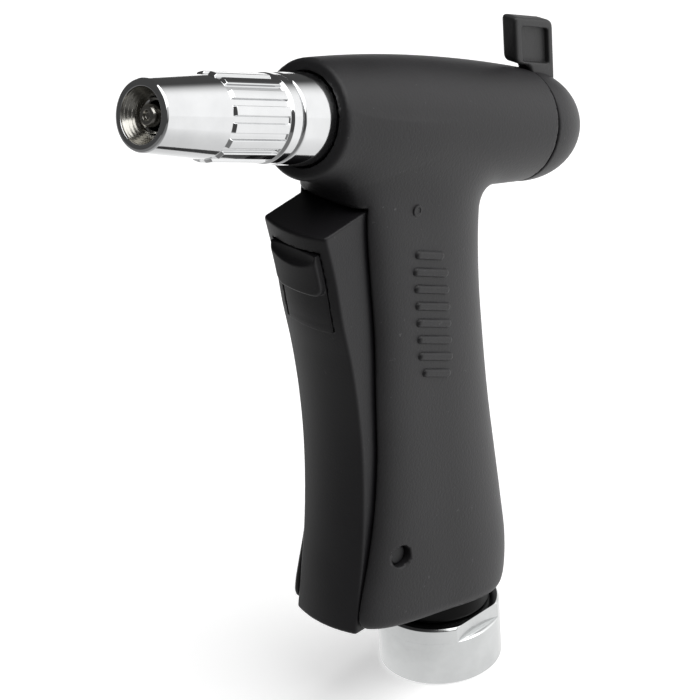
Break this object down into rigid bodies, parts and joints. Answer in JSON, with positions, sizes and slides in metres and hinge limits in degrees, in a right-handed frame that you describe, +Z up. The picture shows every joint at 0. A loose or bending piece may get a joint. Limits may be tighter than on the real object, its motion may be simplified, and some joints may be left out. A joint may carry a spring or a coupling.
{
  "type": "hose spray gun",
  "caption": "Pistol-shaped water spray gun with a squeeze trigger, thumb lock, turning metal nozzle, hanging hook and a threaded hose socket.",
  "frame": {"origin": "centre of the hose inlet's lower end face", "axes": "+Z up along the hose inlet's axis, +X forward towards the nozzle, +Y to the gun's left"},
  "size_m": [0.142, 0.032, 0.1932],
  "materials": {
    "black_rubber": "matte",
    "black_plastic": "satin",
    "chrome": "polished",
    "satin_chrome": "satin",
    "brass": "machined",
    "stainless_steel": "machined",
    "seal_rubber": "matte"
  },
  "bodies": {
    "gun_body": {"rubber_jacket": "black_rubber", "rear_cap": "black_rubber", "hanging_hook": "black_rubber", "barrel_core": "chrome", "rear_plug": "brass", "plug_oring": "seal_rubber", "spray_pin": "chrome", "riser_tube": "stainless_steel", "outlet_tube": "stainless_steel", "valve_housing": "brass", "valve_plug": "brass", "valve_seat": "brass", "stem_gland": "brass", "gland_oring": "seal_rubber", "valve_spring": "stainless_steel", "hose_socket": "satin_chrome", "inlet_washer": "seal_rubber", "inlet_strainer": "stainless_steel", "neck_ring": "black_plastic", "pivot_pin": "stainless_steel", "latch_catch": "stainless_steel"},
    "trigger": {"trigger_lever": "black_plastic", "push_pad": "stainless_steel"},
    "tongue": {"lock_tongue": "black_plastic"},
    "valve": {"valve_stem": "stainless_steel", "valve_disc": "seal_rubber", "disc_nut": "stainless_steel"},
    "nozzle_seal": {"sleeve_oring": "seal_rubber"},
    "nozzle": {"nozzle_sleeve": "chrome"}
  },
  "joints": [
    {"name": "trigger_pull", "type": "hinge", "parent": "gun_body", "child": "trigger", "pos_m": [0.0266, 0, 0.0484], "axis": [0, -1, 0], "range_deg": [0, 7], "stiffness_Nm_per_rad": 2, "springref_deg": -11.46},
    {"name": "tongue_press", "type": "hinge", "parent": "trigger", "child": "tongue", "pos_m": [0.0357, 0, 0.1152], "axis": [0, -1, 0], "range_deg": [0, 5], "stiffness_Nm_per_rad": 1, "springref_deg": -2.86},
    {"name": "valve_slide", "type": "slide", "parent": "gun_body", "child": "valve", "axis": [-1, 0, 0], "range_m": [0, 0.0056], "deforming": ["valve_spring"]},
    {"name": "nozzle_advance", "type": "slide", "parent": "gun_body", "child": "nozzle_seal", "axis": [0.9311, 0, 0.3649], "range_m": [0, 0.00225]},
    {"name": "nozzle_turn", "type": "hinge", "parent": "nozzle_seal", "child": "nozzle", "pos_m": [0, 0, 0.1529], "axis": [0.9311, 0, 0.3649], "range_deg": [0, 540.1]}
  ],
  "couplings": [
    {"joint": "valve_slide", "follows": "trigger_pull", "m_per_rad": 0.0416},
    {"joint": "nozzle_turn", "follows": "nozzle_advance", "rad_per_m": 4188.8}
  ]
}
